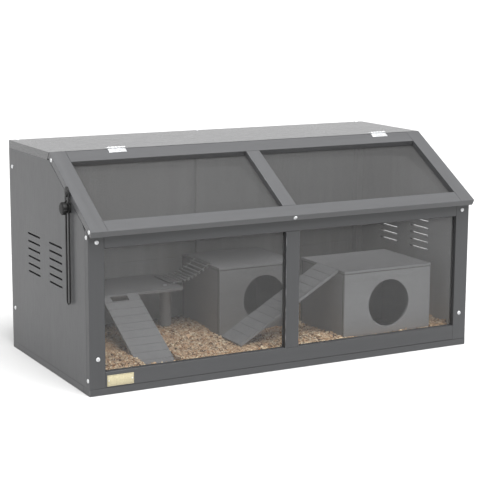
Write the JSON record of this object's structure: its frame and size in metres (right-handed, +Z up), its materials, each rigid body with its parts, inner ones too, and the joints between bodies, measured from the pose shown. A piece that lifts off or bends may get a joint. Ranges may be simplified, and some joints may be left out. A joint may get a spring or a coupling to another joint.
{
  "type": "hamster cage",
  "caption": "Long low wooden hamster cage with a window front, a sloping hinged lid with a slotted stay, a platform, ramps, a bridge and nest boxes.",
  "frame": {"origin": "on the underside of the base, at the middle of its length and depth", "axes": "+X towards the viewer's right along the length, +Y towards the back, +Z up"},
  "size_m": [1.1755, 0.5836, 0.5904],
  "materials": {
    "frame_paint": "satin grey paint on softwood",
    "panel_paint": "satin grey paint on board",
    "furniture_paint": "matt grey paint on thin board",
    "window_pane": "clear acrylic sheet",
    "zinc_steel": "bright zinc plate",
    "black_steel": "black powder coat",
    "black_plastic": "black moulded plastic",
    "plate_enamel": "cream enamel",
    "wood_shavings": "loose dry wood shavings"
  },
  "bodies": {
    "cage": {"base_front_rail": "panel_paint", "base_back_rail": "panel_paint", "base_side_rails": "panel_paint", "base_middle_rail": "panel_paint", "floor_panel": "panel_paint", "left_side_panel": "panel_paint", "right_side_panel": "panel_paint", "back_panel_left": "panel_paint", "back_panel_right": "panel_paint", "back_centre_batten": "panel_paint", "corner_battens": "panel_paint", "roof_panel": "panel_paint", "front_left_stile": "frame_paint", "front_right_stile": "frame_paint", "front_centre_stile": "frame_paint", "front_top_rail": "frame_paint", "front_bottom_rail": "frame_paint", "front_left_pane": "window_pane", "front_right_pane": "window_pane", "frame_screws": "zinc_steel", "roof_screws": "zinc_steel", "nameplate": "plate_enamel", "nameplate_nails": "zinc_steel", "hinge_roof_leaves": "zinc_steel", "hinge_pins": "zinc_steel", "hinge_roof_screws": "zinc_steel", "stay_stud": "zinc_steel", "platform_board": "furniture_paint", "platform_post": "furniture_paint", "platform_post_screw": "zinc_steel", "platform_cleats": "furniture_paint", "ramp_one": "furniture_paint", "ramp_two": "furniture_paint", "bridge_slats": "furniture_paint", "bridge_wires": "zinc_steel", "house_one_front": "furniture_paint", "house_one_back": "furniture_paint", "house_one_sides": "furniture_paint", "house_one_roof": "furniture_paint", "house_two_front": "furniture_paint", "house_two_back": "furniture_paint", "house_two_sides": "furniture_paint", "house_two_roof": "furniture_paint", "bedding": "wood_shavings"},
    "lid": {"lid_left_stile": "frame_paint", "lid_right_stile": "frame_paint", "lid_centre_stile": "frame_paint", "lid_top_rail_board": "frame_paint", "lid_bottom_rail_board": "frame_paint", "lid_left_pane": "window_pane", "lid_right_pane": "window_pane", "lid_screws": "zinc_steel", "hinge_lid_leaves": "zinc_steel", "hinge_lid_screws": "zinc_steel"},
    "guide": {"stay_guide": "black_plastic"},
    "bar": {"stay_bar": "black_steel", "stay_pivot_screw": "black_steel"},
    "knob": {"stay_knob": "black_plastic"}
  },
  "joints": [
    {"name": "lid_hinge", "type": "hinge", "parent": "cage", "child": "lid", "pos_m": [0, -0.027, 0.588], "axis": [-1, 0, 0], "range_deg": [0, 90]},
    {"name": "stay_tilt", "type": "hinge", "parent": "cage", "child": "guide", "pos_m": [-0.581, -0.16201, 0.45994], "axis": [-1, 0, 0], "range_deg": [-1, 9.8]},
    {"name": "stay_slide", "type": "slide", "parent": "guide", "child": "bar", "axis": [0, 0, 1], "range_m": [-0.001, 0.23324]},
    {"name": "knob_turn", "type": "hinge", "parent": "cage", "child": "knob", "pos_m": [-0.59, -0.16201, 0.45994], "axis": [-1, 0, 0], "range_deg": [0, 360]}
  ],
  "couplings": [
    {"joint": "stay_tilt", "follows": "lid_hinge", "ratio": 0.098308},
    {"joint": "stay_slide", "follows": "lid_hinge", "m_per_rad": 0.14785}
  ]
}
